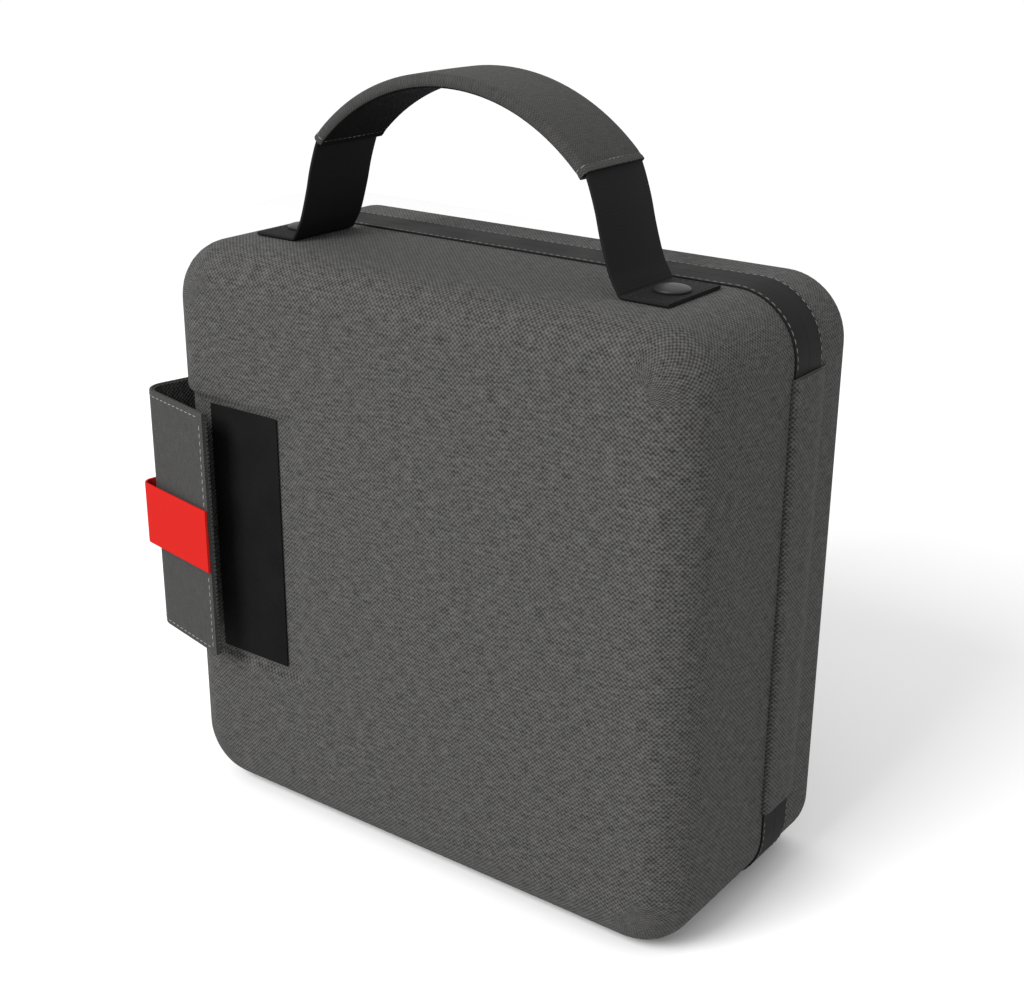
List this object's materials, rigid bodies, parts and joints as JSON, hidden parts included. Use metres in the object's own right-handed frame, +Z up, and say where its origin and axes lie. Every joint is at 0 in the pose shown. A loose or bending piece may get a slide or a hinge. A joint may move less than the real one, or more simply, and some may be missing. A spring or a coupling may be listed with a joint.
{
  "type": "portable power station in a fabric case",
  "caption": "Battery power station held in a fabric-covered clamshell case with a padded carrying handle, a side flap over the port panel and a zipped back lid.",
  "frame": {"origin": "middle of the case's flat base, on the surface it stands on", "axes": "+X to the right seen from the front, +Y to the back, +Z up towards the handle"},
  "size_m": [0.3021, 0.1422, 0.3522],
  "materials": {
    "case_fabric": "matt grey melange canvas",
    "foam": "matt closed-cell foam",
    "zip_tape": "coated water-repellent tape",
    "webbing": "black woven webbing",
    "hook_and_loop": "black hook-and-loop and lining",
    "red_webbing": "red woven webbing",
    "rivet_metal": "satin dark grey",
    "steel": "plain",
    "housing_plastic": "fine moulded grain",
    "panel_plastic": "fine moulded grain",
    "button_plastic": "satin",
    "display": "gloss",
    "cell_wrap": "shrink wrap",
    "circuit_board": "solder mask",
    "aluminium": "extruded",
    "copper": "lacquered winding"
  },
  "bodies": {
    "case": {"front_shell": "case_fabric", "front_foam": "foam", "front_zip_tape": "zip_tape", "front_zip_coil": "webbing", "hook_patch": "hook_and_loop", "handle_strap": "webbing", "handle_grip_cover": "case_fabric", "handle_grip_foam": "foam", "handle_rivet_left": "rivet_metal", "handle_washer_left": "steel", "handle_rivet_right": "rivet_metal", "handle_washer_right": "steel", "unit_housing": "housing_plastic", "unit_back_plate": "housing_plastic", "back_plate_screw_1": "steel", "back_plate_screw_2": "steel", "back_plate_screw_3": "steel", "back_plate_screw_4": "steel", "port_panel": "panel_plastic", "ac_socket": "panel_plastic", "display_lens": "display", "usb_a_port_1": "panel_plastic", "usb_c_port_1": "panel_plastic", "usb_a_port_2": "panel_plastic", "usb_c_port_2": "panel_plastic", "input_socket": "steel", "battery_cell_1": "cell_wrap", "battery_cell_2": "cell_wrap", "battery_cell_3": "cell_wrap", "battery_cell_4": "cell_wrap", "battery_cell_5": "cell_wrap", "battery_cell_6": "cell_wrap", "battery_cell_7": "cell_wrap", "battery_cell_8": "cell_wrap", "battery_board": "circuit_board", "inverter_board": "circuit_board", "inverter_heat_sink": "aluminium", "transformer": "copper", "filter_capacitor": "housing_plastic", "main_board": "circuit_board", "fan_frame": "housing_plastic", "retaining_strap_lower": "webbing", "retaining_strap_upper": "webbing", "hinge_panel_front": "case_fabric"},
    "lid": {"back_shell": "case_fabric", "back_foam": "foam", "back_zip_tape": "zip_tape", "back_zip_coil": "webbing", "hinge_panel_back": "case_fabric"},
    "flap": {"flap_panel": "case_fabric", "flap_liner": "hook_and_loop", "flap_pull_band": "red_webbing"},
    "lower_slider": {"zip_slider_lower": "rivet_metal"},
    "lower_pull": {"zip_pull_lower": "webbing"},
    "upper_slider": {"zip_slider_upper": "rivet_metal"},
    "upper_pull": {"zip_pull_upper": "webbing"},
    "power_button": {"power_button": "button_plastic"},
    "ac_button": {"ac_button": "button_plastic"},
    "fan_rotor": {"fan_rotor": "housing_plastic"}
  },
  "joints": [
    {"name": "lid_hinge", "type": "hinge", "parent": "case", "child": "lid", "pos_m": [0.1432, 0.02395, 0.1403], "axis": [0, 0, -1], "range_deg": [0, 110]},
    {"name": "flap_hinge", "type": "hinge", "parent": "case", "child": "flap", "pos_m": [-0.14, 0.0117, 0.1373], "axis": [0, 0, -1], "range_deg": [-12.8, 82]},
    {"name": "lower_slider_run", "type": "slide", "parent": "case", "child": "lower_slider", "axis": [0, 0, 1], "range_m": [-0.032, 0.038]},
    {"name": "lower_pull_swing", "type": "hinge", "parent": "lower_slider", "child": "lower_pull", "pos_m": [-0.1453, 0.02395, 0.07], "axis": [0, 1, 0], "range_deg": [0, 150]},
    {"name": "upper_slider_run", "type": "slide", "parent": "case", "child": "upper_slider", "axis": [0, 0, 1], "range_m": [-0.015, 0.07]},
    {"name": "upper_pull_swing", "type": "hinge", "parent": "upper_slider", "child": "upper_pull", "pos_m": [-0.1453, 0.02395, 0.165], "axis": [0, 1, 0], "range_deg": [0, 150]},
    {"name": "power_button_press", "type": "slide", "parent": "case", "child": "power_button", "axis": [1, 0, 0], "range_m": [0, 0.001], "stiffness_N_per_m": 1500},
    {"name": "ac_button_press", "type": "slide", "parent": "case", "child": "ac_button", "axis": [1, 0, 0], "range_m": [0, 0.001], "stiffness_N_per_m": 1500},
    {"name": "fan_spin", "type": "hinge", "parent": "case", "child": "fan_rotor", "pos_m": [0.06, 0.028, 0.204], "axis": [0, 1, 0], "continuous": true}
  ]
}
